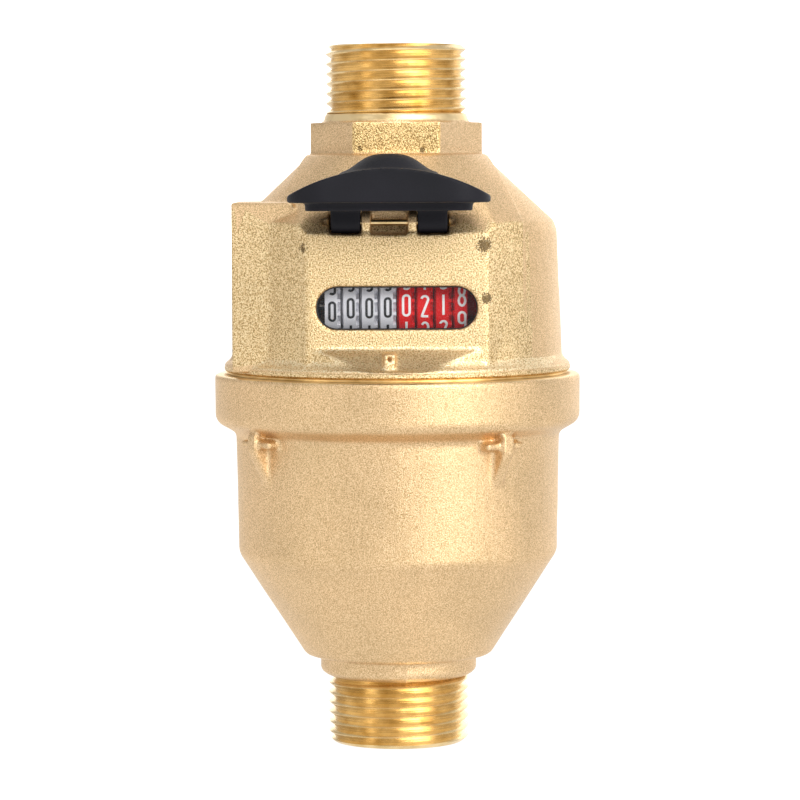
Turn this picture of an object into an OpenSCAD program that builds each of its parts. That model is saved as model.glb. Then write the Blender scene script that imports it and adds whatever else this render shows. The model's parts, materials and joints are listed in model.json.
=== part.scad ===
// Brass in-line water meter: a lower body and an upper housing that screws into it,
// a rotary piston in a measuring chamber, and a drum counter behind a window with a lid.
// The pipe axis is Z, the inlet end face lies at Z = 0 and the window looks along -Y.

/* [Pipe connections] */
// Outside diameter of the pipe threads
thread_d = 33.2; // [31:0.1:35]
// Length of each threaded end
thread_len = 16; // [13:0.5:20]
// Bore of the inlet and of the outlet
port_d = 24; // [18:0.5:25]
// Chamfer at the mouth of each threaded end
thread_chamfer = 1; // [0.6:0.1:1.8]
// Width across the flats of the spanner hexagon
hex_af = 35.2; // [34.6:0.2:38]
// Height of the spanner hexagon
hex_h = 7.5; // [6:0.5:11]
// Height of the plain neck between the hexagon and the outlet thread
neck_h = 2.2; // [1.5:0.1:4]

/* [Lower body] */
// Height of the collar above the inlet thread
collar_h = 4.7; // [4:0.1:7]
// Diameter of the collar above the inlet thread
collar_d = 37; // [35.6:0.2:40]
// Diameter at the foot of the lower cone
cone_foot_d = 45.8; // [43.4:0.2:49]
// Height of the lower cone
cone_h = 22.5; // [19:0.5:28]
// Height of the lower barrel
barrel_h = 30.6; // [29.4:0.2:38]
// Diameter of the lower barrel at its foot
barrel_foot_d = 75.6; // [74.6:0.2:77]
// Diameter of the lower barrel under the rim
barrel_d = 76.6; // [75.6:0.2:78]
// Diameter of the rim that the upper housing screws into
rim_d = 86.4; // [84.6:0.2:90]
// Height of the rim
rim_h = 11.8; // [11.4:0.2:15]
// Wall of the lower body
body_wall = 4; // [3.4:0.1:4.3]
// Number of holding lugs under the rim
lug_count = 4; // [2:1:6]
// Turn of the lugs about the pipe axis
lug_turn = -8; // [-20:1:20]
// Drop of each lug below the rim
lug_drop = 12; // [9:0.5:15]

/* [Upper housing] */
// Height of the lip that seats on the rim
lip_h = 4.5; // [3.8:0.1:6.6]
// Diameter of the lip
lip_d = 81.8; // [81:0.2:82.8]
// Diameter of the screwed spigot below the lip
spigot_d = 78; // [77:0.2:79]
// Height of the upper barrel
shell_h = 31.2; // [30:0.2:36]
// Diameter of the upper barrel above the lip
shell_foot_d = 78; // [77:0.2:80]
// Diameter of the upper barrel below the upper cone
shell_d = 75.6; // [74.8:0.2:77]
// Height of the upper cone
shell_cone_h = 15.9; // [15:0.1:21]
// Wall of the upper housing
shell_wall = 3.7; // [3.2:0.1:4]
// Distance of the flat front panel from the pipe axis
panel_y = 33.8; // [33.4:0.1:35.2]
// Width of the flat front panel
panel_w = 41.4; // [40.4:0.2:43.2]
// Height of the panel's top edge above the rim
panel_top = 33.6; // [32.4:0.1:34.8]
// Height of the panel's bottom edge above the rim
panel_foot = 7.3; // [6.6:0.1:8.4]
// Thickness of the wall behind the front panel
panel_wall = 2.4; // [1.9:0.1:2.8]
// Reach of the side block from the pipe axis
block_x = 38.2; // [37.8:0.1:40.4]
// Height of the side block's top above the rim
block_top = 40.6; // [38.6:0.2:42.4]
// Diameter of the probe socket in the side block
probe_d = 5; // [3:0.5:6]
// Depth of the probe socket
probe_depth = 7; // [5:1:9]

/* [Window] */
// Width of the panel left at each end of the window
window_margin = 2.3; // [2.2:0.1:3.3]
// Height of the window
window_h = 9.8; // [7.6:0.2:11.2]
// Height of the window's middle above the rim
window_z = 16.6; // [16.2:0.1:17.4]
// Set-back of the lens behind the panel
lens_recess = 0.8; // [0.4:0.1:1.2]
// Width of the lens flange round the window
lens_flange = 1.1; // [0.8:0.1:1.2]
// Thickness of the lens flange
lens_flange_t = 1.4; // [1:0.1:1.7]
// Thickness of the lens gasket
lens_gasket_t = 0.8; // [0.5:0.1:1]

/* [Lid] */
// Sideways place of the lid's middle
lid_x = -1.7; // [-4:0.1:4]
// Width of the lid
lid_w = 45.4; // [43.4:0.2:49]
// Reach of the lid from its hinge pin to its front edge
lid_len = 27.5; // [26.5:0.5:29]
// Thickness of the lid at its ends
lid_edge_t = 1.5; // [1.2:0.1:2.8]
// Rise of the lid's crown over its ends
lid_crown = 6.2; // [4:0.1:7.6]
// Height of the hinge pin above the rim
hinge_z = 36.1; // [35.8:0.1:37.1]
// Diameter of the hinge pin
hinge_pin_d = 1.5; // [1.2:0.1:1.9]
// Width of each lid lug
lid_lug_w = 6.8; // [4.8:0.2:7.4]
// Thickness of each hinge ear
ear_t = 2.1; // [1.6:0.1:2.8]
// Clear width between the hinge ears
ear_gap = 8.4; // [6.6:0.2:10.4]

/* [Measuring chamber] */
// Inside diameter of the measuring chamber
chamber_d = 56.5; // [52.5:0.5:57]
// Wall of the measuring chamber
chamber_wall = 2.8; // [1.9:0.1:3.2]
// Thickness of the chamber's floor
chamber_floor = 2.8; // [2:0.2:3.8]
// Thickness of the chamber's cover
cover_t = 3.3; // [2.4:0.1:4.2]
// Throw of the crank
crank_throw = 2.4; // [1.4:0.1:2.8]
// Wall of the rotary piston and of the hub rings
piston_wall = 1.9; // [1.5:0.1:2.3]
// Thickness of the partition plate
partition_t = 1.1; // [0.8:0.1:1.5]
// Diameter of the flow ports
flow_port_d = 6; // [4.8:0.2:6.6]

/* [Register] */
// Number of counting drums
drum_count = 8; // [6:1:8]
// Number of drums at the low end, in red
red_drums = 4; // [2:1:4]
// Spacing of the drums along their axle
drum_pitch = 4.25; // [4.15:0.05:4.3]
// Diameter of the drums
drum_d = 19.6; // [18.8:0.1:20.2]
// Distance of the drum axle from the pipe axis
drum_y = 18.8; // [18.4:0.1:19]
// Diameter of the drum axle
axle_d = 1.9; // [1.5:0.1:2.2]
// Teeth of the wheel on the spindle
spindle_teeth = 28; // [24:1:30]
// Teeth of the wheel on the worm shaft
worm_gear_teeth = 20; // [18:1:22]
// Teeth of the worm wheel on the last drum
worm_wheel_teeth = 24; // [22:1:26]
// Axial pitch of the worm
worm_pitch = 1.5; // [1.4:0.05:1.6]

/* [Fits] */
// Radial clearance of shafts in their holes
run_gap = 0.05; // [0.03:0.01:0.08]
// Clearance between pieces that are put together
seat_gap = 0.1; // [0.05:0.01:0.2]
// Clearance between pieces that move past each other
move_gap = 0.3; // [0.2:0.05:0.4]

/* [Hidden] */
$fn = 96;
eps = 0.01;
press_gap = 0.02;
brass = [0.83, 0.68, 0.40];
bright_brass = [0.88, 0.70, 0.32];
lid_black = [0.10, 0.10, 0.12];
drum_white = [0.86, 0.86, 0.88];
drum_red = [0.80, 0.06, 0.08];
clear = [0.85, 0.92, 0.95, 0.35];
resin_grey = [0.62, 0.64, 0.66];
resin_dark = [0.25, 0.26, 0.28];
steel = [0.70, 0.71, 0.73];
rubber = [0.12, 0.12, 0.13];

// Levels along the pipe axis, from the inlet face up
z_collar = thread_len;
z_cone = z_collar + collar_h + 2.1;
z_barrel = z_cone + cone_h;
z_rim_foot = z_barrel + barrel_h;
z_rim = z_rim_foot + rim_h;
z_shell = z_rim + lip_h;
z_shoulder = z_shell + shell_h;
z_hex = z_shoulder + shell_cone_h;
z_neck = z_hex + hex_h;
z_outlet = z_neck + neck_h;
z_top = z_outlet + thread_len;

// Inside of the lower body
cavity_r = barrel_foot_d / 2 - body_wall + 0.5;
chamber_seat_w = 2.8;
z_seat = z_barrel + 2.2;
seat_depth = 10.9;
z_ledge = z_rim - seat_depth;
socket_r = spigot_d / 2 + seat_gap;

// Stack on the ledge: separator plate, seal, spigot
separator_t = 2.8;
seal_t = 1.9;
seal_w = 3.8;
z_separator = z_ledge;
z_seal = z_separator + separator_t;
z_spigot = z_seal + seal_t;
spigot_wall = 4.1;
spigot_in_r = spigot_d / 2 - spigot_wall;

// Panel, window and lid
z_window = z_rim + window_z;
z_panel_top = z_rim + panel_top;
z_panel_foot = z_rim + panel_foot;
window_w = panel_w - 2 * window_margin;
facet = 8.65;
boss_proud = 1.1;
boss_foot = 1.3;
hex_r = hex_af / sqrt(3);
facet_x = panel_w / 2 + facet;
facet_y = panel_y - facet;
panel_in_y = panel_y - panel_wall;
z_hinge = z_rim + hinge_z;
probe_inset = 4.7;
probe_y = 8.5;
lid_inset = 2.5;
hinge_y = panel_y - lid_inset;
lid_rim_h = 1.8;
lid_rim_z = lid_inset + move_gap + 0.1;
lid_plate_z = lid_rim_z + lid_rim_h;
lug_r = 2.45;
pin_over = 2;
lug_in_x = ear_gap / 2 + ear_t + move_gap - 0.1;
lug_out_x = lug_in_x + lid_lug_w;

// Measuring chamber and rotary piston
chamber_r = chamber_d / 2;
piston_gap = 0.12;
piston_r = chamber_r - crank_throw - piston_gap;
hub_r = piston_r - piston_wall - crank_throw - piston_gap;
z_floor = z_seat + chamber_floor;
z_cover = z_ledge - cover_t;
chamber_in_h = z_cover - z_floor;
web_t = 1.9;
z_web = z_floor + (chamber_in_h - web_t) / 2;
partition_slot = partition_t + 2 * crank_throw + 2 * move_gap;
port_ring_r = (hub_r + chamber_r) / 2;
port_turn = 28;
spindle_d = 3.8;
crank_r = crank_throw + spindle_d / 2 + 1.5;
crank_t = 2.8;
z_crank = z_web + web_t + 3.3;

// Counter behind the window
axle_z = z_window;
drum_r = drum_d / 2;
drum_gap = 0.2;
carry_t = 0.45;
ring_teeth = 20;
pinion_teeth = 8;
ring_t = 0.7;
rim_t = drum_pitch - drum_gap - carry_t - ring_t;
ring_pitch_r = drum_r - 0.75;
tooth_module = 2 * ring_pitch_r / ring_teeth;
pinion_pitch_r = tooth_module * pinion_teeth / 2;
carry_add = 0.65;
carry_ded = 1.1 * tooth_module;
pinion_y = -drum_y + ring_pitch_r + pinion_pitch_r;
carry_r = ring_pitch_r - tooth_module - 0.6;
pinion_axle_d = 1.3;
wheel_r = worm_wheel_teeth * worm_pitch / (2 * PI);
wheel_wave = 0.33;
wheel_t = 2;
worm_r = 2.45;
worm_wave = 0.42;
worm_gap = 0.25;
worm_len = 7.5;
worm_sides = 20;
last_drum_x = (drum_count - 1) / 2 * drum_pitch;
drum_right = last_drum_x - drum_pitch / 2 + carry_t + rim_t;
worm_x = drum_right + move_gap + worm_r + worm_wave + 0.2;
worm_y = -drum_y + wheel_r + worm_r + worm_gap;
worm_shaft_d = 1.9;
train_a = atan2(worm_y, worm_x);
train_c = norm([worm_x, worm_y]);
gear_module = 2 * train_c / (spindle_teeth + worm_gear_teeth);
gear_t = 1.9;
z_gear = z_seal + 0.75;
z_bed = z_gear + gear_t + 1.1;
bed_t = 1.9;
z_deck = z_bed + bed_t;
cheek_t = 1.7;
cheek_left = -(drum_count / 2 * drum_pitch + 1.1 + cheek_t);
cheek_right = worm_x + worm_r + worm_wave + move_gap + 0.2;
frame_w = cheek_right + cheek_t - cheek_left;
cheek_reach = 5.2;
cheek_inset = 3.2;
cheek_front = drum_y + cheek_reach;
cheek_back = -pinion_y - cheek_inset;
arm_rise = 1.9;
arm_t = 1.9;
arm_w = 4.5;
arm_z = axle_z + worm_len / 2 + arm_rise;
cheek_top = arm_z + arm_t;

// Points of a toothed outline: straight-flanked teeth, one centred on the angle turn
function tooth_points(teeth, pitch_r, add, ded, turn) =
    [for (i = [0 : teeth - 1], k = [-0.28, -0.12, 0.12, 0.28])
        let (a = turn + 360 / teeth * (i + k), r = abs(k) > 0.2 ? pitch_r - ded : pitch_r + add)
        [r * cos(a), r * sin(a)]];

// Points of a wavy outline, with a hollow centred on the angle turn
function wave_points(waves, mean_r, wave, turn, steps = 8) =
    [for (i = [0 : waves * steps - 1])
        let (a = 360 / (waves * steps) * i, r = mean_r - wave * cos(waves * (a - turn)))
        [r * cos(a), r * sin(a)]];

// Points of an arc from angle a0 to a1
function arc(c, r, a0, a1, steps = 6) =
    [for (i = [0 : steps]) let (a = a0 + (a1 - a0) * i / steps) c + r * [cos(a), sin(a)]];

// Flat outline with straight long sides and round ends
module stadium(w, h) {
    square([w - h, h], center = true);
    for (s = [-1, 1]) translate([s * (w - h) / 2, 0]) circle(d = h);
}

// Flat rectangle with round corners
module round_rect(w, h, r) {
    square([w - 2 * r, h], center = true);
    square([w, h - 2 * r], center = true);
    for (x = [-1, 1], y = [-1, 1]) translate([x * (w / 2 - r), y * (h / 2 - r)]) circle(r);
}

// Turns a shape drawn along Z so that it lies along X
module along_x() {
    rotate([0, 90, 0]) children();
}

// Plate parallel to the front panel, from depth y0 to y1 in front of the axis
module front_plate(y0, y1, z) {
    translate([0, -y0, z]) rotate([90, 0, 0]) linear_extrude(y1 - y0) children();
}

module toothed_wheel(teeth, module_size, t, bore_d, turn) {
    difference() {
        linear_extrude(t)
            polygon(tooth_points(teeth, module_size * teeth / 2, module_size * 0.8, module_size * 1.15, turn));
        translate([0, 0, -1]) cylinder(d = bore_d, h = t + 2);
    }
}

// Lower body
module lower_outside() {
    thread_r = thread_d / 2;
    collar_r = collar_d / 2;
    rim_r = rim_d / 2;
    corner = 2.8;
    foot = 2.1;
    rotate_extrude() polygon(concat(
        [[0, 0], [thread_r - thread_chamfer, 0], [thread_r, thread_chamfer], [thread_r, z_collar - 0.2]],
        [[collar_r - 0.8, z_collar + 0.4], [collar_r, z_collar + 1.2], [collar_r, z_collar + collar_h - 0.4]],
        [[collar_r + 0.5, z_collar + collar_h]],
        arc([cone_foot_d / 2 - foot, z_cone], foot, -70, -33),
        [[barrel_foot_d / 2 - 0.4, z_barrel - 0.6], [barrel_foot_d / 2, z_barrel + 0.6]],
        [[barrel_d / 2, z_rim_foot - 2.6], [barrel_d / 2 + 0.7, z_rim_foot - 1.7]],
        arc([rim_r - corner, z_rim_foot + corner - 0.5], corner, -60, 0),
        [[rim_r, z_rim - 0.5], [rim_r - 0.5, z_rim], [0, z_rim]]));
}

module lower_inside() {
    port_r = port_d / 2;
    throat_r = cone_foot_d / 2 - body_wall - 1.2;
    mouth = 0.8;
    rotate_extrude() polygon([
        [0, -1], [port_r + mouth, -1], [port_r + mouth, 0], [port_r, mouth],
        [port_r, z_cone], [throat_r, z_cone],
        [cavity_r - chamber_seat_w, z_seat], [cavity_r, z_seat], [cavity_r, z_ledge], [socket_r, z_ledge],
        [socket_r, z_rim - 0.8], [socket_r + 0.8, z_rim], [socket_r + 0.8, z_rim + 1], [0, z_rim + 1]]);
}

module holding_lug() {
    rib_t = 2.8;
    rib_reach = 4.1;
    rib_foot = 4;
    rib_toe = 1.3;
    shelf_w = 10.8;
    shelf_t = 1.7;
    root_r = barrel_foot_d / 2 - 1;
    reach_r = barrel_d / 2 + rib_reach;
    top = z_rim_foot - 1;
    translate([0, rib_t / 2, 0]) rotate([90, 0, 0]) linear_extrude(rib_t)
        polygon([[root_r, top], [reach_r, top], [reach_r, top - rib_foot],
            [root_r + rib_toe, top - lug_drop], [root_r, top - lug_drop]]);
    translate([root_r, -shelf_w / 2, top - rib_foot + 0.8]) cube([reach_r - root_r - 1, shelf_w, shelf_t]);
}

module lower_body() {
    color(brass) difference() {
        union() {
            lower_outside();
            for (i = [0 : lug_count - 1]) rotate(lug_turn - 45 + 360 / lug_count * i) holding_lug();
        }
        lower_inside();
    }
}

// Upper housing
module upper_outside() {
    thread_r = thread_d / 2;
    lip_r = lip_d / 2;
    rotate_extrude() polygon(concat(
        [[0, z_spigot], [spigot_d / 2 - 0.6, z_spigot], [spigot_d / 2, z_spigot + 0.6], [spigot_d / 2, z_rim]],
        [[lip_r - 0.7, z_rim], [lip_r - 0.7, z_rim + 1], [lip_r, z_rim + 1.3], [lip_r, z_rim + 2.4]],
        [[lip_r - 1.2, z_rim + lip_h - 1.2], [shell_foot_d / 2, z_shell]],
        [[shell_d / 2 + 0.1, z_shoulder - 2], [shell_d / 2 - 0.7, z_shoulder + 0.2]],
        [[hex_r, z_hex], [0, z_hex]]));
    translate([0, 0, z_hex - 1]) cylinder(r = hex_r, h = hex_h + 1, $fn = 6);
    rotate_extrude() polygon([
        [0, z_neck - 1], [thread_r + 0.6, z_neck - 1], [thread_r + 0.5, z_neck + 0.6],
        [thread_r, z_outlet],
        [thread_r, z_top - thread_chamfer], [thread_r - thread_chamfer, z_top], [0, z_top]]);
}

// Plan of the faceted front, set in by the wall w
module front_plan(w) {
    half = panel_w / 2 - w * tan(22.5);
    y = panel_y - w;
    side = half + facet;
    polygon([[-half, -y], [half, -y], [side, facet - y], [side - 9, 0], [9 - side, 0], [-side, facet - y]]);
}

module front_boss() {
    intersection() {
        translate([0, 0, z_rim + boss_foot]) linear_extrude(z_hex - z_rim - boss_foot) front_plan(0);
        rotate_extrude() polygon([
            [0, z_rim], [lip_d / 2, z_rim], [lip_d / 2, z_shoulder - 2], [shell_d / 2 + boss_proud, z_shoulder],
            [hex_r + boss_proud, z_hex], [0, z_hex]]);
    }
}

module side_block() {
    side_y = facet_y - 4.3;
    inner_x = facet_x - 5.6;
    translate([0, 0, z_rim + boss_foot]) linear_extrude(block_top - boss_foot)
        polygon([[-inner_x, -facet_y - 2], [-facet_x, -facet_y], [-block_x, -side_y],
            [-block_x, 8.5], [-inner_x, 14]]);
}

// What is cut away in front of the panel and above its sloping top
module panel_cut() {
    far = 70;
    rise = 7.5;
    foot_z = z_rim + 2.4;
    translate([-facet_x, 0, 0]) rotate([90, 0, 90]) linear_extrude(2 * facet_x)
        polygon([[-far, foot_z], [-lip_d / 2 + 1.2, foot_z], [-panel_y, z_panel_foot], [-panel_y, z_panel_top],
            [-panel_y + rise, z_panel_top + rise], [-panel_y + rise, z_top], [-far, z_top]]);
}

module hinge_ears() {
    ear_r = 2.75;
    ear_back = 2 * ear_r - 0.6;
    ear_root = 5.6;
    for (s = [-1, 1]) translate([lid_x + s * (ear_gap + ear_t) / 2 - ear_t / 2, -hinge_y, z_hinge]) {
        along_x() cylinder(r = ear_r, h = ear_t);
        translate([0, ear_r - ear_back, -ear_root]) cube([ear_t, ear_back, ear_root]);
    }
}

// Room for the lid's lugs to turn round the pin
module hinge_pockets() {
    pocket_r = lug_r + move_gap;
    clear_l = 20;
    ear_out = ear_gap / 2 + ear_t;
    lug_end = lug_out_x + move_gap;
    for (x = [[-lug_end, -ear_out], [-ear_gap / 2, ear_gap / 2], [ear_out, lug_end]])
        translate([lid_x + x[0], -hinge_y, z_hinge]) {
            along_x() cylinder(r = pocket_r, h = x[1] - x[0]);
            translate([0, -clear_l, -pocket_r]) cube([x[1] - x[0], clear_l, pocket_r]);
            translate([0, -clear_l, 0]) cube([x[1] - x[0], clear_l + pocket_r, clear_l]);
        }
}

module seal_eye() {
    eye_w = 2.6;
    eye_h = 4.4;
    eye_len = 5;
    eye_hole_d = 1.2;
    translate([lid_x - eye_w / 2, -lip_d / 2 + 1.4, z_rim + 2]) difference() {
        cube([eye_w, eye_len, eye_h]);
        translate([eye_w / 2, -1, eye_h - eye_hole_d]) rotate([-90, 0, 0]) cylinder(d = eye_hole_d, h = 3);
    }
}

module upper_inside() {
    in_r = shell_d / 2 - shell_wall;
    port_r = port_d / 2;
    mouth = 0.8;
    difference() {
        rotate_extrude() polygon([
            [0, z_spigot - 1], [spigot_in_r, z_spigot - 1], [spigot_in_r, z_shell - 1], [in_r, z_shell + 2],
            [in_r, z_shoulder - 8.5], [port_r + 2, z_hex - 3], [port_r, z_hex + 1], [port_r, z_top - mouth],
            [port_r + mouth, z_top], [port_r + mouth, z_top + 1], [0, z_top + 1]]);
        translate([-lip_d, -panel_in_y - lip_d, z_shell - 2]) cube([2 * lip_d, lip_d, shell_h + shell_cone_h]);
    }
    translate([0, 0, z_rim + 2]) linear_extrude(panel_top - 5.6) front_plan(panel_wall);
}

module upper_housing() {
    color(brass) difference() {
        union() {
            difference() {
                union() {
                    upper_outside();
                    front_boss();
                    side_block();
                }
                panel_cut();
                hinge_pockets();
            }
            hinge_ears();
            seal_eye();
        }
        upper_inside();
        front_plate(panel_in_y - 1, panel_y + 1, z_window) stadium(window_w, window_h);
        translate([lid_x - lug_out_x - pin_over, -hinge_y, z_hinge]) along_x()
            cylinder(d = hinge_pin_d + 2 * run_gap, h = 2 * (lug_out_x + pin_over));
        translate([-block_x + probe_inset, -probe_y, z_rim + block_top - probe_depth])
            cylinder(d = probe_d, h = probe_depth + 1);
    }
}

module body_seal() {
    color(rubber) translate([0, 0, z_seal]) difference() {
        cylinder(r = spigot_in_r + seal_w, h = seal_t);
        translate([0, 0, -1]) cylinder(r = spigot_in_r + 2 * seat_gap, h = seal_t + 2);
    }
}

// Inlet strainer
module inlet_strainer() {
    flange_r = cone_foot_d / 2 - body_wall - 1.6;
    flange_t = 1.5;
    basket_r = port_d / 2 + 2;
    basket_h = 19;
    wall = 1.2;
    slots = 14;
    slot_w = 2.4;
    slot_z = flange_t + wall;
    hole_ring = basket_r / 2;
    color(resin_dark) translate([0, 0, z_cone]) difference() {
        union() {
            cylinder(r = flange_r, h = flange_t);
            cylinder(r = basket_r, h = basket_h);
        }
        translate([0, 0, -1]) cylinder(r = basket_r - wall, h = basket_h + 1 - wall);
        for (i = [0 : slots - 1]) rotate(360 / slots * i)
            translate([basket_r - wall - 1, -slot_w / 2, slot_z])
                cube([wall + 2, slot_w, basket_h - slot_z - 2 * wall]);
        for (i = [0 : slots / 2 - 1]) rotate(720 / slots * i)
            translate([hole_ring, 0, basket_h - wall - 1]) cylinder(d = slot_w, h = wall + 2);
    }
}

// Measuring chamber
module hub_ring(z0, h) {
    translate([0, 0, z0]) difference() {
        cylinder(r = hub_r, h = h);
        translate([0, 0, -1]) cylinder(r = hub_r - piston_wall, h = h + 2);
    }
}

// Place of the partition plate, grown by the clearance g
module partition_room(g) {
    inner = hub_r - piston_wall / 2;
    outer = chamber_r + chamber_wall / 2;
    translate([-partition_t / 2 - g, inner - g, z_floor])
        cube([partition_t + 2 * g, outer - inner + 2 * g, chamber_in_h]);
}

module flow_port(side) {
    rotate(90 + side * port_turn) translate([port_ring_r, 0, -z_top])
        cylinder(d = flow_port_d, h = 2 * z_top);
}

module chamber_cup() {
    color(resin_grey) difference() {
        union() {
            translate([0, 0, z_seat]) cylinder(r = cavity_r - 3 * seat_gap, h = chamber_floor);
            translate([0, 0, z_floor]) difference() {
                cylinder(r = chamber_r + chamber_wall, h = chamber_in_h);
                translate([0, 0, -eps]) cylinder(r = chamber_r, h = chamber_in_h + 1);
            }
            hub_ring(z_floor - eps, z_web - z_floor - move_gap);
        }
        partition_room(run_gap);
        flow_port(1);
    }
}

module chamber_cover() {
    color(resin_grey) difference() {
        union() {
            translate([0, 0, z_cover]) cylinder(r = chamber_r + chamber_wall, h = cover_t);
            hub_ring(z_web + web_t + move_gap, z_cover - z_web - web_t - move_gap + eps);
        }
        partition_room(run_gap);
        flow_port(-1);
        cylinder(d = spindle_d + 2 * run_gap, h = z_top);
    }
}

module partition_plate() {
    color(steel) partition_room(0);
}

// Piston drawn about its own centre, which the crank carries off the chamber's axis
module rotary_piston() {
    slot_depth = hub_r - piston_wall - crank_throw - move_gap;
    web_hole_d = 6.6;
    color(resin_dark) translate([crank_throw, 0, 0]) difference() {
        union() {
            translate([0, 0, z_floor + piston_gap]) difference() {
                cylinder(r = piston_r, h = chamber_in_h - 2 * piston_gap);
                translate([0, 0, -1]) cylinder(r = piston_r - piston_wall, h = chamber_in_h + 2);
            }
            translate([0, 0, z_web]) cylinder(r = piston_r - piston_wall / 2, h = web_t);
            translate([0, 0, z_web]) cylinder(d = spindle_d, h = z_crank + crank_t - z_web);
        }
        translate([-partition_slot / 2, slot_depth, z_floor - 1])
            cube([partition_slot, piston_r, chamber_in_h + 2]);
        for (i = [0 : 4]) rotate(90 + 60 * (i + 1))
            translate([hub_r / 2, 0, z_web - 1]) cylinder(d = web_hole_d, h = web_t + 2);
    }
}

module drive_spindle() {
    cap_t = 0.8;
    z_cap = z_crank + crank_t;
    color(steel) {
        translate([0, 0, z_crank]) difference() {
            cylinder(r = crank_r, h = crank_t);
            translate([crank_throw, 0, -1]) cylinder(d = spindle_d + 2 * run_gap, h = crank_t + 2);
        }
        translate([0, 0, z_cap]) cylinder(r = crank_r, h = cap_t);
        translate([0, 0, z_cap + cap_t - eps]) cylinder(d = spindle_d, h = z_deck - move_gap - z_cap - cap_t);
    }
}

module spindle_gear() {
    color(resin_grey) translate([0, 0, z_gear])
        toothed_wheel(spindle_teeth, gear_module, gear_t, spindle_d + 2 * press_gap, train_a);
}

module separator_plate() {
    plate_r = spigot_in_r + seal_w;
    color(resin_grey) translate([0, 0, z_separator]) difference() {
        cylinder(r = plate_r, h = separator_t);
        translate([0, 0, -1]) cylinder(d = spindle_d + 2 * run_gap, h = separator_t + 2);
        translate([worm_x, worm_y, separator_t - 1.4]) cylinder(d = worm_shaft_d + 2 * run_gap, h = 2);
        flow_port(-1);
    }
}

// Register
module register_frame() {
    leg_d = 4.7;
    legs = [[cheek_left + 3, -drum_y - 1], [cheek_left + 3, 6], [4, -drum_y - 4], [cheek_right, 9]];
    bed_back = 11.3;
    color(resin_dark) difference() {
        union() {
            for (p = legs) translate([p[0], p[1], z_seal]) cylinder(d = leg_d, h = z_bed - z_seal + eps);
            translate([cheek_left, -cheek_front, z_bed]) cube([frame_w, cheek_front + bed_back, bed_t]);
            for (x = [cheek_left, cheek_right])
                translate([x, -cheek_front, z_bed])
                    cube([cheek_t, cheek_front - cheek_back, cheek_top - z_bed]);
            translate([worm_x - arm_w / 2, worm_y - arm_w / 2, arm_z])
                cube([cheek_right + cheek_t - worm_x + arm_w / 2, arm_w, arm_t]);
        }
        for (hole = [[-drum_y, axle_d], [pinion_y, pinion_axle_d]])
            translate([cheek_left - 1, hole[0], axle_z]) along_x()
                cylinder(d = hole[1] + 2 * press_gap, h = frame_w + 2);
        translate([worm_x, worm_y, z_bed - 1])
            cylinder(d = worm_shaft_d + 2 * run_gap, h = arm_z + arm_t + 2 - z_bed);
        translate([0, 0, z_bed - 1]) cylinder(d = spindle_d + 2 * run_gap, h = bed_t + 2);
    }
}

module cross_axle(y, d) {
    translate([cheek_left, y, axle_z]) along_x() cylinder(d = d, h = frame_w);
}

module drum_axle() {
    color(steel) cross_axle(-drum_y, axle_d);
}

module pinion_axle() {
    color(steel) cross_axle(pinion_y, pinion_axle_d);
}

// Counting drum: carry teeth on its left, rim, and a ring gear or the worm wheel on its right.
// The carry teeth hang straight down, and on the last drum they face away from the pinion.
module drum(i) {
    x = (i - (drum_count + 1) / 2) * drum_pitch - drum_pitch / 2;
    last = i == drum_count;
    hub_d = axle_d + 5;
    carry_turn = last ? -90 : 0;
    color(i > drum_count - red_drums ? drum_red : drum_white)
        translate([x, -drum_y, axle_z]) along_x() difference() {
            union() {
                if (i > 1) cylinder(r = carry_r, h = carry_t + eps);
                if (i > 1) for (a = [-9, 9]) rotate(a + carry_turn)
                    translate([carry_r - 1, -0.6, 0]) cube([drum_r - carry_r + 0.6, 1.2, carry_t + eps]);
                translate([0, 0, carry_t]) cylinder(r = drum_r, h = rim_t);
                if (!last) translate([0, 0, carry_t + rim_t - eps]) linear_extrude(ring_t + eps)
                    polygon(tooth_points(ring_teeth, ring_pitch_r, carry_add, carry_ded, 90 + 180 / ring_teeth));
                if (last) cylinder(d = hub_d, h = worm_x - x + wheel_t / 2);
                if (last) translate([0, 0, worm_x - x - wheel_t / 2]) linear_extrude(wheel_t)
                    polygon(wave_points(worm_wheel_teeth, wheel_r, wheel_wave, 90));
            }
            translate([0, 0, -1]) cylinder(d = axle_d + 2 * run_gap, h = frame_w);
        }
}

// Carry pinion between drum i and the next lower drum
module carry_pinion(i) {
    x = (i - drum_count / 2) * drum_pitch;
    t = ring_t + drum_gap + carry_t;
    color(resin_grey) translate([x - ring_t - drum_gap, pinion_y, axle_z]) along_x() difference() {
        linear_extrude(t)
            polygon(tooth_points(pinion_teeth, pinion_pitch_r, carry_add, carry_ded, 270));
        translate([0, 0, -1]) cylinder(d = pinion_axle_d + 2 * run_gap, h = t + 2);
    }
}

module worm_shaft() {
    turns = worm_len / worm_pitch;
    color(steel) translate([worm_x, worm_y, 0]) {
        translate([0, 0, z_seal - 1.3]) cylinder(d = worm_shaft_d, h = arm_z + arm_t - z_seal + 1.3);
        translate([0, 0, axle_z - worm_len / 2]) rotate(-90)
            linear_extrude(worm_len, twist = 360 * turns, slices = turns * 12, $fn = worm_sides)
                rotate(180 * turns) translate([worm_wave, 0]) circle(worm_r, $fn = worm_sides);
    }
}

module worm_gear() {
    color(resin_grey) translate([worm_x, worm_y, z_gear])
        toothed_wheel(worm_gear_teeth, gear_module, gear_t, worm_shaft_d + 2 * press_gap,
            train_a + 180 + 180 / worm_gear_teeth);
}

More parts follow.
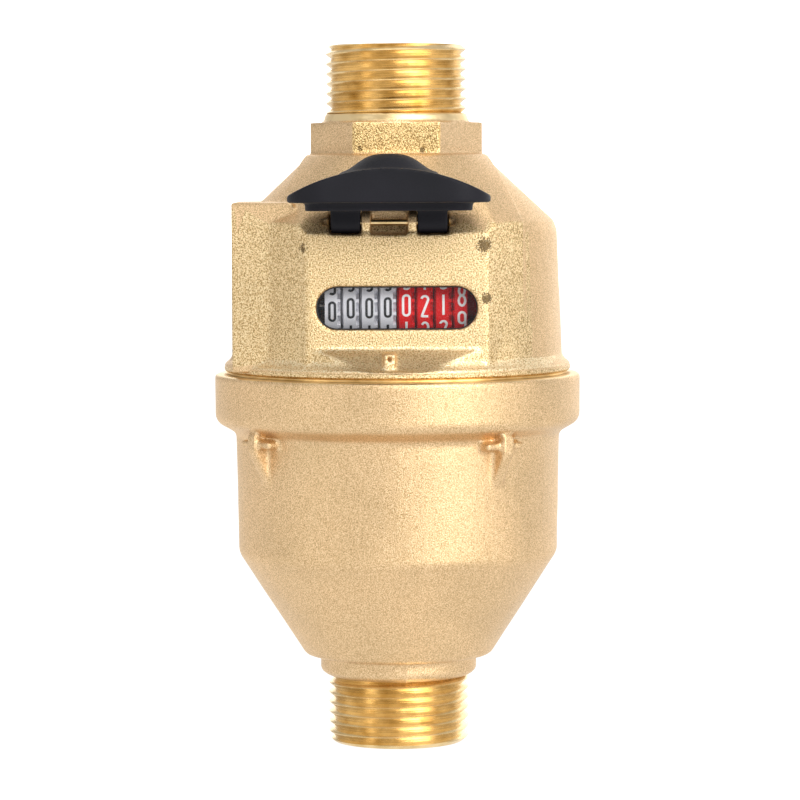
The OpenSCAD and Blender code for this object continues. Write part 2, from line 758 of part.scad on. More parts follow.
// Window
module window_lens() {
    flange_y = panel_in_y - lens_gasket_t;
    color(clear) {
        front_plate(flange_y - eps, panel_y - lens_recess, z_window)
            stadium(window_w - 2 * seat_gap, window_h - 2 * seat_gap);
        front_plate(flange_y - lens_flange_t, flange_y, z_window)
            stadium(window_w + 2 * lens_flange, window_h + 2 * lens_flange);
    }
}

module lens_gasket() {
    color(rubber) front_plate(panel_in_y - lens_gasket_t, panel_in_y, z_window) difference() {
        stadium(window_w + 2 * lens_flange, window_h + 2 * lens_flange);
        stadium(window_w, window_h);
    }
}

// Lid, drawn open as it stands in use, level over the window
module hinge_pin() {
    pin_len = 2 * lug_out_x - 0.8;
    color(bright_brass) translate([lid_x - pin_len / 2, -hinge_y, z_hinge]) along_x()
        cylinder(d = hinge_pin_d, h = pin_len);
}

module lid_plan(inset) {
    back = lug_r - inset;
    len = lid_len + lug_r - 2 * inset;
    translate([0, back - len / 2]) round_rect(lid_w - 2 * inset, len, 8.5 - inset);
}

module reading_lid() {
    half = lid_w / 2;
    crown_r = (half * half + lid_crown * lid_crown) / (2 * lid_crown);
    mid_y = lug_r - (lid_len + lug_r) / 2;
    rim_inset = 4;
    lid_rim_t = 1.2;
    hollow = 1.1;
    hump_r = 10.9;
    hump_h = 3.2;
    skirt_z = lid_crown - 0.9;
    lug_x = [lug_in_x, -lug_out_x];
    color(lid_black) translate([lid_x, -hinge_y, z_hinge]) difference() {
        union() {
            intersection() {
                translate([0, 0, lid_plate_z]) linear_extrude(lid_edge_t + lid_crown) lid_plan(0);
                translate([0, lid_len, lid_plate_z + lid_edge_t + lid_crown - crown_r]) rotate([90, 0, 0])
                    cylinder(r = crown_r, h = 3 * lid_len);
            }
            translate([0, mid_y + 3, lid_plate_z + lid_edge_t]) rotate_extrude() polygon(concat(
                [[0, 0], [hump_r, 0], [hump_r, skirt_z]],
                [for (i = [1 : 10]) let (u = 1 - i / 10, rise = (1 + cos(180 * pow(u, 1.6))) / 2)
                    [hump_r * u, skirt_z + (lid_crown + hump_h - skirt_z) * rise]]));
            translate([0, 0, lid_rim_z]) linear_extrude(lid_rim_h + eps) lid_plan(rim_inset);
            for (x = lug_x) translate([x, 0, 0]) {
                along_x() cylinder(r = lug_r, h = lid_lug_w);
                translate([0, -lug_r, 0]) cube([lid_lug_w, 2 * lug_r, lid_plate_z + 1]);
            }
        }
        difference() {
            translate([0, 0, lid_rim_z - 1]) linear_extrude(lid_rim_h + 1 + hollow)
                lid_plan(rim_inset + lid_rim_t);
            for (x = lug_x) translate([x, -lug_r, 0]) cube([lid_lug_w, 2 * lug_r, lid_plate_z + hollow + 1]);
        }
        translate([-half, 0, 0]) along_x() cylinder(d = hinge_pin_d + 2 * run_gap, h = lid_w);
    }
}

lower_body();
upper_housing();
body_seal();
inlet_strainer();
chamber_cup();
chamber_cover();
partition_plate();
rotary_piston();
drive_spindle();
spindle_gear();
separator_plate();
register_frame();
drum_axle();
pinion_axle();
worm_shaft();
worm_gear();
window_lens();
lens_gasket();
hinge_pin();
reading_lid();
for (i = [1 : drum_count])
    drum(i);
for (i = [1 : drum_count - 1])
    carry_pinion(i);
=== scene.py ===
import json
import math
import bmesh
import bpy
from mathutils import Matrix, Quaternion, Vector, noise


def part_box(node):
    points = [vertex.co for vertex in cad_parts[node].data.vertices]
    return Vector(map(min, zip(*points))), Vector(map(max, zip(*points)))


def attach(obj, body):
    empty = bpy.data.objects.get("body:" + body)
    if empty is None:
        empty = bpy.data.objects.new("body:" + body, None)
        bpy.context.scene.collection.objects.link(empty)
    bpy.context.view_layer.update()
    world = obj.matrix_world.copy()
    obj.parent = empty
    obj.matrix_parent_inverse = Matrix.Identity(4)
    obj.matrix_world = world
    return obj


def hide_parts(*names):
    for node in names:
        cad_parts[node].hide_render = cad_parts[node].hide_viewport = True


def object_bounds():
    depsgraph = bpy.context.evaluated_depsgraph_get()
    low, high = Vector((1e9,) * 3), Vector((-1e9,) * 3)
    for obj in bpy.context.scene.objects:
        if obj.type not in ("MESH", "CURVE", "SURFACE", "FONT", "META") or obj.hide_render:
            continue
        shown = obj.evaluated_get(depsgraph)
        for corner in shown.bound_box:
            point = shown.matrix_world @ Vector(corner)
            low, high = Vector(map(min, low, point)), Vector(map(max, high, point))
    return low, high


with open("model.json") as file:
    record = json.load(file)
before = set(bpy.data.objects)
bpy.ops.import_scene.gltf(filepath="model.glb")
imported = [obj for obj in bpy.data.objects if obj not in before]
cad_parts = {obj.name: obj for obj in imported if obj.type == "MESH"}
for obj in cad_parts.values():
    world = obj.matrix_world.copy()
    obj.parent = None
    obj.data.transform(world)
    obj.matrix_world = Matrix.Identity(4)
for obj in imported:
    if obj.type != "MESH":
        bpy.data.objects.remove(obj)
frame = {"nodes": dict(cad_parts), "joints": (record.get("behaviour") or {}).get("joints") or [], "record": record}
cadLow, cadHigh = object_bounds()
nodes = frame["nodes"]
joints = {joint["name"]: joint for joint in frame["joints"]}
mounts = {mount["name"]: mount for mount in frame["record"]["mounts"]}
mm = 0.001
mergeGap = 0.002 * mm
cutGap = 0.001 * mm
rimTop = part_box("lower_body")[1].z
print("frame loaded:", len(nodes), "nodes")


# Small helpers for node materials
def blankMaterial(name):
    material = bpy.data.materials.new(name)
    material.use_nodes = True
    shader = material.node_tree.nodes["Principled BSDF"]
    return material, material.node_tree, shader


def addNode(tree, kind, **settings):
    node = tree.nodes.new(kind)
    for key, value in settings.items():
        setattr(node, key, value)
    return node


def objectCoords(tree):
    return addNode(tree, "ShaderNodeTexCoord").outputs["Object"]


def noiseField(tree, vector, scale, detail=2.0, roughness=0.5):
    field = addNode(tree, "ShaderNodeTexNoise")
    field.inputs["Scale"].default_value = scale
    field.inputs["Detail"].default_value = detail
    field.inputs["Roughness"].default_value = roughness
    tree.links.new(vector, field.inputs["Vector"])
    return field.outputs["Fac"]


def stretched(tree, vector, scale):
    mapping = addNode(tree, "ShaderNodeMapping")
    mapping.inputs["Scale"].default_value = scale
    tree.links.new(vector, mapping.inputs["Vector"])
    return mapping.outputs["Vector"]


def rampOf(tree, value, places, colours):
    ramp = addNode(tree, "ShaderNodeValToRGB")
    points = ramp.color_ramp.elements
    while len(points) < len(places):
        points.new(0.5)
    for point, place, colour in zip(points, places, colours):
        point.position = place
        point.color = (*colour, 1.0)
    tree.links.new(value, ramp.inputs["Fac"])
    return ramp.outputs["Color"]


def mathOf(tree, operation, first, second):
    node = addNode(tree, "ShaderNodeMath", operation=operation)
    tree.links.new(first, node.inputs[0])
    tree.links.new(second, node.inputs[1])
    return node.outputs["Value"]


def rangeOf(tree, value, old, new):
    node = addNode(tree, "ShaderNodeMapRange")
    for key, limit in zip(("From Min", "From Max", "To Min", "To Max"), (*old, *new)):
        node.inputs[key].default_value = limit
    tree.links.new(value, node.inputs["Value"])
    return node.outputs["Result"]


def mixColour(tree, factor, first, second, blend="MIX"):
    node = addNode(tree, "ShaderNodeMix", data_type="RGBA", blend_type=blend)
    sockets = {"Factor_Float": factor, "A_Color": first, "B_Color": second}
    for socket in node.inputs:
        if socket.identifier not in sockets:
            continue
        value = sockets[socket.identifier]
        if isinstance(value, (int, float)):
            socket.default_value = value
        elif isinstance(value, tuple):
            socket.default_value = (*value, 1.0)
        else:
            tree.links.new(value, socket)
    return next(o for o in node.outputs if o.identifier == "Result_Color")


def addBump(tree, shader, height, strength, distance):
    bump = addNode(tree, "ShaderNodeBump")
    bump.inputs["Strength"].default_value = strength
    bump.inputs["Distance"].default_value = distance
    tree.links.new(height, bump.inputs["Height"])
    tree.links.new(bump.outputs["Normal"], shader.inputs["Normal"])


def setSurface(tree, shader, colour, roughness, metallic):
    tree.links.new(colour, shader.inputs["Base Color"])
    tree.links.new(roughness, shader.inputs["Roughness"])
    shader.inputs["Metallic"].default_value = metallic


usualRange = (0.3, 0.7)  # most of a noise field lies between these values
fineDepth = 0.0001  # bump of the smooth finishes, in metres


# Sand-cast brass: grain of the mould, faint patches and a few dark casting pits
castFinish = {
    "dark": (0.50, 0.333, 0.162),
    "middle": (0.80, 0.557, 0.306),
    "light": (1.0, 0.755, 0.47),
    "spread": 0.17,
    "contrast": 1.25,
    "grain": 4200.0,
    "grainScale": 1.0,
    "patches": 45.0,
    "patchTones": ((0.86, 0.85, 0.82), (1.0, 1.0, 1.0)),
    "rough": (0.38, 0.52),
    "bump": 0.36,
    "depth": 0.0002,
    "pits": (  # place and reach in millimetres
        (-22.0, -33.6, 118.0, 2.7), (19.9, -33.6, 118.7, 3.7), (20.6, -33.6, 106.4, 2.8),
        (-34.0, -17.0, 128.2, 2.4), (-8.5, -17.6, 140.6, 1.2), (6.0, -17.6, 140.2, 1.2),
        (-38.9, -6.0, 91.4, 1.6),
    ),
    "pitGrain": 2800.0,
    "pitCore": 0.2,
    "pitPull": 0.62,
    "pitEdge": (0.93, 0.99),
    "pitShare": 0.85,
    "pitColour": (0.10, 0.062, 0.025),
}
coarseFinish = {
    **castFinish,
    "dark": (0.42, 0.275, 0.11),
    "middle": (0.84, 0.605, 0.325),
    "light": (1.0, 0.82, 0.51),
    "contrast": 1.6,
    "grainScale": 0.74,
}
# Painted light: a paler tone on the ledge under the window, standing in for the light that the lid keeps off it
ledgePaintedLightFinish = {
    **coarseFinish,
    "dark": (0.58, 0.41, 0.20),
    "middle": (0.97, 0.73, 0.43),
    "light": (1.0, 0.90, 0.64),
    "contrast": 1.4,
}
# Painted shade: a darker tone on the hexagon's face that looks to the front, standing in for less light there
hexFrontShadeFinish = {
    **coarseFinish,
    "dark": (0.33, 0.21, 0.075),
    "middle": (0.68, 0.47, 0.215),
    "light": (0.94, 0.71, 0.36),
}


def castBrass(name, finish):
    material, tree, shader = blankMaterial(name)
    coords = objectCoords(tree)
    grain = noiseField(tree, coords, finish["grain"] * finish["grainScale"], roughness=0.6)
    patches = noiseField(tree, coords, finish["patches"], detail=3.0)
    spread = finish["spread"] / finish["contrast"]
    tones = (finish["dark"], finish["middle"], finish["light"])
    colour = rampOf(tree, grain, (0.5 - spread, 0.5, 0.5 + spread), tones)
    patchTone = rampOf(tree, patches, usualRange, finish["patchTones"])
    colour = mixColour(tree, 1.0, colour, patchTone, "MULTIPLY")
    pitField = None
    for x, y, z, reach in finish["pits"]:
        gap = addNode(tree, "ShaderNodeVectorMath", operation="DISTANCE")
        gap.inputs[1].default_value = (x * mm, y * mm, z * mm)
        tree.links.new(coords, gap.inputs[0])
        span = (reach * mm, reach * mm * finish["pitCore"])
        near = rangeOf(tree, gap.outputs["Value"], span, (0.0, finish["pitPull"]))
        pitField = near if pitField is None else mathOf(tree, "MAXIMUM", pitField, near)
    pitGrain = noiseField(tree, coords, finish["pitGrain"], detail=3.0)
    pitSum = mathOf(tree, "ADD", pitGrain, pitField)
    pitted = rangeOf(tree, pitSum, finish["pitEdge"], (0.0, finish["pitShare"]))
    colour = mixColour(tree, pitted, colour, finish["pitColour"])
    setSurface(tree, shader, colour, rangeOf(tree, patches, usualRange, finish["rough"]), 1.0)
    height = mathOf(tree, "SUBTRACT", grain, pitted)
    strength = finish["bump"] * finish["contrast"]
    addBump(tree, shader, height, strength, finish["depth"] / finish["grainScale"])
    return material


# Turned brass: bright, with fine tool marks round the pipe axis
turnedFinish = {
    "dark": (0.60, 0.40, 0.15),
    "light": (0.88, 0.665, 0.355),
    "stains": 180.0,
    "stainRange": (0.25, 0.6),
    "marks": (90.0, 90.0, 5200.0),
    "markRange": (0.2, 0.8),
    "rough": (0.20, 0.34),
    "bump": 0.10,
}
satinFinish = {
    **turnedFinish,
    "dark": (0.66, 0.47, 0.22),
    "light": (0.90, 0.69, 0.38),
    "rough": (0.30, 0.44),
}


def turnedBrass(name, finish):
    material, tree, shader = blankMaterial(name)
    coords = objectCoords(tree)
    marks = noiseField(tree, stretched(tree, coords, finish["marks"]), 1.0)
    stains = noiseField(tree, coords, finish["stains"], detail=4.0)
    colour = rampOf(tree, stains, finish["stainRange"], (finish["dark"], finish["light"]))
    setSurface(tree, shader, colour, rangeOf(tree, marks, finish["markRange"], finish["rough"]), 1.0)
    addBump(tree, shader, marks, finish["bump"], fineDepth)
    return material


# Moulded plastics: colour drift, fine surface texture
driftScale = 70.0
plasticFinishes = {
    "lidPlastic": {"dark": (0.007, 0.007, 0.0095), "light": (0.011, 0.0105, 0.0145), "grain": 2600.0,
                   "rough": (0.48, 0.62), "bump": 0.22, "gloss": 0.16},
    "whiteDrum": {"dark": (0.62, 0.62, 0.66), "light": (0.76, 0.76, 0.80), "grain": 420.0,
                  "rough": (0.30, 0.42), "bump": 0.03, "gloss": 0.3},
    "redDrum": {"dark": (0.58, 0.004, 0.005), "light": (0.74, 0.007, 0.007), "grain": 420.0,
                "rough": (0.30, 0.42), "bump": 0.03, "gloss": 0.12},
    "blackInk": {"dark": (0.008, 0.008, 0.009), "light": (0.016, 0.016, 0.018), "grain": 900.0,
                 "rough": (0.40, 0.55), "bump": 0.03},
    "whiteInk": {"dark": (0.76, 0.74, 0.74), "light": (0.88, 0.86, 0.86), "grain": 900.0,
                 "rough": (0.40, 0.55), "bump": 0.03},
    "greyResin": {"dark": (0.30, 0.31, 0.33), "light": (0.38, 0.39, 0.41), "grain": 500.0,
                  "rough": (0.42, 0.58), "bump": 0.06},
    "darkResin": {"dark": (0.030, 0.032, 0.036), "light": (0.045, 0.047, 0.052), "grain": 500.0,
                  "rough": (0.42, 0.58), "bump": 0.06},
    "sealRubber": {"dark": (0.010, 0.010, 0.011), "light": (0.018, 0.018, 0.019), "grain": 700.0,
                   "rough": (0.60, 0.78), "bump": 0.10},
}


def mouldedPlastic(name, finish):
    material, tree, shader = blankMaterial(name)
    coords = objectCoords(tree)
    grain = noiseField(tree, coords, finish["grain"])
    drift = noiseField(tree, coords, driftScale)
    colour = rampOf(tree, drift, usualRange, (finish["dark"], finish["light"]))
    setSurface(tree, shader, colour, rangeOf(tree, grain, usualRange, finish["rough"]), 0.0)
    shader.inputs["Specular IOR Level"].default_value = finish.get("gloss", 0.5)
    addBump(tree, shader, grain, finish["bump"], fineDepth)
    return material


# Ground steel for the shafts inside
steelFinish = {
    "dark": (0.42, 0.43, 0.45),
    "light": (0.60, 0.61, 0.63),
    "marks": (4000.0, 4000.0, 60.0),
    "rough": (0.22, 0.36),
    "bump": 0.05,
}


def groundSteel(name, finish):
    material, tree, shader = blankMaterial(name)
    marks = noiseField(tree, stretched(tree, objectCoords(tree), finish["marks"]), 1.0)
    colour = rampOf(tree, marks, usualRange, (finish["dark"], finish["light"]))
    setSurface(tree, shader, colour, rangeOf(tree, marks, usualRange, finish["rough"]), 1.0)
    addBump(tree, shader, marks, finish["bump"], fineDepth)
    return material


# Clear lens: mostly seen through, with a light sheen
lensFinish = {"colour": (0.30, 0.33, 0.36), "alpha": 0.03, "haze": 160.0, "rough": (0.03, 0.10)}


def clearLens(name, finish):
    material, tree, shader = blankMaterial(name)
    haze = noiseField(tree, objectCoords(tree), finish["haze"])
    tree.links.new(rangeOf(tree, haze, usualRange, finish["rough"]), shader.inputs["Roughness"])
    shader.inputs["Base Color"].default_value = (*finish["colour"], 1.0)
    shader.inputs["Alpha"].default_value = finish["alpha"]
    return material


castSkin = castBrass("castBrass", castFinish)
coarseSkin = castBrass("coarseCastBrass", coarseFinish)
ledgePaintedLightSkin = castBrass("ledgePaintedLightBrass", ledgePaintedLightFinish)
hexFrontShadeSkin = castBrass("hexFrontShadeBrass", hexFrontShadeFinish)
satinSkin = turnedBrass("satinBrass", satinFinish)
brightSkin = turnedBrass("turnedBrass", turnedFinish)
plastics = {name: mouldedPlastic(name, finish) for name, finish in plasticFinishes.items()}
steelSkin = groundSteel("groundSteel", steelFinish)
lensSkin = clearLens("clearLens", lensFinish)
print("materials made:", len(bpy.data.materials))


# Finishes of the solids that stay as they are
slotSkins = {
    "cast_brass": castSkin,
    "bright_brass": brightSkin,
    "white_drum": plastics["whiteDrum"],
    "red_drum": plastics["redDrum"],
    "grey_resin": plastics["greyResin"],
    "dark_resin": plastics["darkResin"],
    "steel": steelSkin,
    "rubber": plastics["sealRubber"],
    "lens": lensSkin,
    "lid_plastic": plastics["lidPlastic"],
}
for subpart in frame["record"]["subparts"]:
    mesh = nodes[subpart["node"]].data
    mesh.materials.clear()
    mesh.materials.append(slotSkins[subpart["material_slot"]])


# Helpers for meshes and pieces
def pieceFrom(bm, name, skins, body, smoothAngle):
    mesh = bpy.data.meshes.new(name)
    bm.to_mesh(mesh)
    bm.free()
    piece = bpy.data.objects.new(name, mesh)
    bpy.context.scene.collection.objects.link(piece)
    for skin in skins:
        mesh.materials.append(skin)
    mesh.shade_smooth()
    mesh.set_sharp_from_angle(angle=math.radians(smoothAngle))
    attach(piece, body)
    return piece


def mergedCopy(node):
    bm = bmesh.new()
    bm.from_mesh(nodes[node].data)
    bmesh.ops.remove_doubles(bm, verts=bm.verts, dist=mergeGap)
    return bm


def ofKind(items, kind):
    return [item for item in items if isinstance(item, kind)]


def cutAway(bm, height, keepAbove):
    result = bmesh.ops.bisect_plane(
        bm, geom=bm.verts[:] + bm.edges[:] + bm.faces[:], dist=cutGap,
        plane_co=(0, 0, height), plane_no=(0, 0, 1), clear_inner=keepAbove, clear_outer=not keepAbove)
    bmesh.ops.bridge_loops(bm, edges=ofKind(result["geom_cut"], bmesh.types.BMEdge))


# Castings: the solids' own form with the softened edges that a sand mould leaves
castings = {
    "lower_body": {
        "name": "lowerCasting", "voxel": 0.50, "smooth": 3, "keep": 0.5,
        "low": 10.0, "lumps": 150.0, "lumpHeight": 0.07,
        "seamX": 1.9, "seamTop": 22.5, "seamWide": 0.45, "seamHeight": 0.16,
    },
    "upper_housing": {
        "name": "upperCasting", "voxel": 0.46, "smooth": 3, "keep": 0.45,
        "low": 90.5, "lumps": 150.0, "lumpHeight": 0.06,
        "seamTop": 0.0,  # no mould seam
    },
}


def softened(bm, plan):
    mesh = bpy.data.meshes.new("rough")
    bm.to_mesh(mesh)
    bm.free()
    rough = bpy.data.objects.new("rough", mesh)
    bpy.context.scene.collection.objects.link(rough)
    remesh = rough.modifiers.new("remesh", "REMESH")
    remesh.mode = "VOXEL"
    remesh.voxel_size = plan["voxel"] * mm
    relax = rough.modifiers.new("relax", "SMOOTH")
    relax.factor = 0.5
    relax.iterations = plan["smooth"]
    thin = rough.modifiers.new("thin", "DECIMATE")
    thin.ratio = plan["keep"]
    bpy.context.view_layer.update()
    shaped = rough.evaluated_get(bpy.context.evaluated_depsgraph_get())
    result = bmesh.new()
    result.from_mesh(shaped.to_mesh())
    shaped.to_mesh_clear()
    bpy.data.objects.remove(rough)
    bpy.data.meshes.remove(mesh)
    return result


chamferLength = 1.0 * mm
inletEnd = mounts["inlet_thread"]["dims"]["length_mm"] * mm + chamferLength
topHeight = cadHigh.z
outletStart = topHeight - mounts["outlet_thread"]["dims"]["length_mm"] * mm - chamferLength
lipSplit = 0.9  # the lip is turned below this height above the rim and cast over it
outwardLeast = 0.25  # walls that face outwards less than this get no waves


def settled(bm, plan):
    bm.normal_update()
    for vert in bm.verts:
        outward = Vector((vert.co.x, vert.co.y, 0)).normalized().dot(vert.normal)
        if outward < outwardLeast or vert.co.z <= plan["low"] * mm:
            continue
        shift = noise.noise(vert.co * plan["lumps"]) * plan["lumpHeight"]
        if vert.co.y < 0 and vert.co.z < plan["seamTop"] * mm:
            fromSeam = (vert.co.x / mm - plan["seamX"]) / plan["seamWide"]
            shift += plan["seamHeight"] * math.exp(-fromSeam ** 2)
        vert.co += vert.normal * shift * mm


# Where each finish of the castings shows, in millimetres; the ledge tone is painted light and the hexagon's front
# tone is painted shade
castingSkins = {
    "cast": castSkin,
    "satin": satinSkin,
    "coarse": coarseSkin,
    "hex": hexFrontShadeSkin,
    "ledge": ledgePaintedLightSkin,
}
skinPlan = {
    "seatLow": -0.3, "ledgeLow": 2.0, "ledgeHigh": 9.0, "windowLow": 3.0, "windowHigh": 36.0,  # above the rim
    "hexLow": 139.6, "hexHigh": 146.6, "neckLow": 147.2,  # above the inlet's end
    "seatReach": 38.5, "hexOut": 17.2,  # from the axis
    "ledgeUp": 0.25, "ledgeFront": 0.3, "windowFront": 0.6, "hexFront": 0.9,  # how far a face looks that way
}


def skinOf(face, plan):
    centre = face.calc_center_median()
    reach = math.hypot(centre.x, centre.y)
    above = (centre.z - rimTop) / mm
    front = -face.normal.y
    onSeat = plan["seatLow"] < above < lipSplit and reach > plan["seatReach"] * mm
    if onSeat or centre.z > plan["neckLow"] * mm:
        return "satin"
    # Painted light: slopes facing up and to the front just above the rim take the paler ledge tone
    onSlope = face.normal.z > plan["ledgeUp"] and front > plan["ledgeFront"]
    if onSlope and plan["ledgeLow"] < above < plan["ledgeHigh"]:
        return "ledge"
    # Painted shade: only the hexagon's faces that look straight to the front take the darker tone
    atHex = plan["hexLow"] * mm < centre.z < plan["hexHigh"] * mm and -centre.y > plan["hexOut"] * mm
    if atHex and front > plan["hexFront"]:
        return "hex"
    atWindow = plan["windowLow"] < above < plan["windowHigh"]
    return "coarse" if atWindow and front > plan["windowFront"] else "cast"


lowerRough = mergedCopy("lower_body")
cutAway(lowerRough, inletEnd, keepAbove=True)
upperRough = mergedCopy("upper_housing")
cutAway(upperRough, outletStart, keepAbove=False)
skinOrder = list(castingSkins)
for node, rough in (("lower_body", lowerRough), ("upper_housing", upperRough)):
    plan = castings[node]
    soft = softened(rough, plan)
    settled(soft, plan)
    for face in soft.faces:
        face.material_index = skinOrder.index(skinOf(face, skinPlan))
    casting = pieceFrom(soft, plan["name"], castingSkins.values(), "root", smoothAngle=50.0)
    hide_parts(node)
    print("casting made:", plan["name"], len(casting.data.polygons))


# Lip where the upper housing seats on the rim, in millimetres from the axis and above the rim
lipPlan = {
    "profile": (
        (39.4, 0.04), (40.25, 0.04), (40.3, 0.5), (40.7, 0.75), (40.95, 1.05),
        (40.95, 1.75), (40.65, 2.1), (40.2, 2.4), (39.4, 2.4),
    ),
    "steps": 160,
}


def turnedRing(name, plan, base):
    bm = bmesh.new()
    points = [bm.verts.new((r * mm, 0, base + z * mm)) for r, z in plan["profile"]]
    edges = [bm.edges.new(pair) for pair in zip(points, points[1:] + points[:1])]
    bmesh.ops.spin(bm, geom=points + edges, cent=(0, 0, 0), axis=(0, 0, 1), angle=math.tau,
                   steps=plan["steps"], dvec=(0, 0, 0))
    bmesh.ops.remove_doubles(bm, verts=bm.verts, dist=mergeGap)
    bmesh.ops.recalc_face_normals(bm, faces=bm.faces)
    for face in bm.faces:
        face.material_index = 1 if face.calc_center_median().z > base + lipSplit * mm else 0
    return pieceFrom(bm, name, (brightSkin, coarseSkin), "root", smoothAngle=20.0)


lipRing = turnedRing("lipRing", lipPlan, rimTop)
print("lip ring made:", len(lipRing.data.polygons))


# Pipe threads: a line one pitch long is carried round and along, shaped to the V and bored
threadPlan = {
    "pitch": 2.309,
    "depth": 1.3,
    "soft": 0.45,
    "bore": 12.0,
    "steps": 96,
    "rows": 12,
}


def threadHeight(turned, soft):  # a V with slightly rounded flanks, from 0 at the root to 1 at the crest
    share = turned % 1.0
    straight = 1 - abs(2 * share - 1)
    curved = 0.5 - 0.5 * math.cos(math.tau * share)
    return (1 - soft) * straight + soft * curved


def setReach(vert, reach):
    scale = reach / math.hypot(vert.co.x, vert.co.y)
    vert.co.x *= scale
    vert.co.y *= scale


def pipeThread(name, plan, low, high, mouth):
    pitch = plan["pitch"] * mm
    outer = mounts["inlet_thread"]["dims"]["r_mm"] * mm
    turns = math.ceil((high - low) / pitch) + 2  # what stands over at the ends is pressed flat
    bm = bmesh.new()
    heights = [low - pitch + pitch * row / plan["rows"] for row in range(plan["rows"] + 1)]
    points = [bm.verts.new((outer, 0, height)) for height in heights]
    edges = [bm.edges.new(pair) for pair in zip(points, points[1:])]
    bmesh.ops.spin(bm, geom=points + edges, cent=(0, 0, 0), axis=(0, 0, 1), angle=math.tau * turns,
                   steps=plan["steps"] * turns, dvec=(0, 0, pitch / plan["steps"]))
    for vert in bm.verts:
        vert.co.z = min(max(vert.co.z, low), high)
        turned = (vert.co.z - low) / pitch - math.atan2(vert.co.y, vert.co.x) / math.tau
        reach = outer - plan["depth"] * mm * (1 - threadHeight(turned, plan["soft"]))
        chamfer = outer - chamferLength + abs(vert.co.z - mouth)
        setReach(vert, min(reach, chamfer))
    bmesh.ops.remove_doubles(bm, verts=bm.verts, dist=mergeGap)
    for height in (low, high):
        rim = [edge for edge in bm.edges if edge.is_boundary
               and all(abs(vert.co.z - height) < mergeGap for vert in edge.verts)]
        endRing = bmesh.ops.extrude_edge_only(bm, edges=rim)["geom"]
        for vert in ofKind(endRing, bmesh.types.BMVert):
            setReach(vert, plan["bore"] * mm)
    bore = bmesh.ops.extrude_edge_only(bm, edges=ofKind(endRing, bmesh.types.BMEdge))["geom"]
    for vert in ofKind(bore, bmesh.types.BMVert):  # from the upper ring down to the lower one
        vert.co.z = low
    bmesh.ops.remove_doubles(bm, verts=bm.verts, dist=mergeGap)
    bmesh.ops.recalc_face_normals(bm, faces=bm.faces)
    return pieceFrom(bm, name, (brightSkin,), "root", smoothAngle=25.0)


inletThread = pipeThread("inletThread", threadPlan, 0.0, inletEnd, mouth=0.0)
outletThread = pipeThread("outletThread", threadPlan, outletStart, topHeight, mouth=topHeight)
print("threads made:", len(inletThread.data.polygons), len(outletThread.data.polygons))


# Reading lid: the moulded form with rounded edges
lidPlan = {"voxel": 0.35, "smooth": 4, "keep": 0.6}
lidSoft = softened(mergedCopy("reading_lid"), lidPlan)
lid = pieceFrom(lidSoft, "lidMoulding", (plastics["lidPlastic"],), "lid", smoothAngle=50.0)
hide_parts("reading_lid")
print("lid made:", len(lid.data.polygons))


# Printed digits: round strokes wrapped on each drum
digitPlan = {
    "white": {"width": 1.28, "height": 4.2, "stroke": 0.58, "ink": "blackInk", "slot": "rubber"},
    "red": {"width": 1.5, "height": 4.65, "stroke": 0.55, "ink": "whiteInk", "slot": "white_drum"},
    "whites": 4,
    "flat": 0.10,
    "lift": 0.05,
    "carry": 0.45,
    "middle": 1.7,
    "shown": (0, 0, 0, 0, 0, 2, 1, 8.5),  # the last drum stands between two numbers
    "turns": (-5.8, -1.3, -1.3, -0.4, 2.4, 1.2, 3.1, -2.6),  # degrees that each drum is off
    "angle": 36.0,
    "step": 0.25,
}
samePlace = 0.01  # points of a closed line nearer than this are one, in millimetres


def arcOf(cx, cy, rx, ry, start, end, steps=12):
    angles = [math.radians(start + (end - start) * i / steps) for i in range(steps + 1)]
    return [(cx + rx * math.cos(a), cy + ry * math.sin(a)) for a in angles]


def digitStrokes(digit, width, height):
    w, h = width / 2, height / 2
    q = h - w  # middle of the round end
    u = h / 2
    tailTop = arcOf(0, q, w, w, 40, 180)
    tailFoot = arcOf(0, -q, w, w, 220, 360)
    return {
        0: [(arcOf(0, q, w, w, 0, 180) + arcOf(0, -q, w, w, 180, 360), True)],
        1: [([(0, h), (0, -h)], False)],
        2: [(arcOf(0, q, w, w, 170, -20) + [(-w, -h), (w, -h)], False)],
        3: [(arcOf(0, u, w, u, 150, -90) + arcOf(0, -u, w, u, 90, -150), False)],
        4: [([(w, -h * 0.35), (-w, -h * 0.35), (w * 0.4, h), (w * 0.4, -h)], False)],
        5: [([(w, h), (-w, h), (-w, h * 0.1)] + arcOf(0, -q * 0.7, w, h - q * 0.7, 100, -150), False)],
        6: [(tailTop + arcOf(0, -q, w, w, 180, 360) + arcOf(0, -q * 0.3, w, w, 0, 180), False)],
        7: [([(-w, h), (w, h), (-w * 0.3, -h)], False)],
        8: [(arcOf(0, u, w * 0.9, u, -90, 270), True), (arcOf(0, -u, w, u, -90, 270), True)],
        9: [(tailFoot + arcOf(0, q, w, w, 0, 180) + arcOf(0, q * 0.3, w, w, 180, 360), False)],
    }[digit]


def divided(points, closed, step):
    result = []
    for start, end in zip(points, points[1:] + (points[:1] if closed else [])):
        a, b = Vector(start), Vector(end)
        count = max(1, math.ceil((b - a).length / step))
        result += [tuple(a.lerp(b, i / count)) for i in range(count)]
    return result if closed else result + [points[-1]]


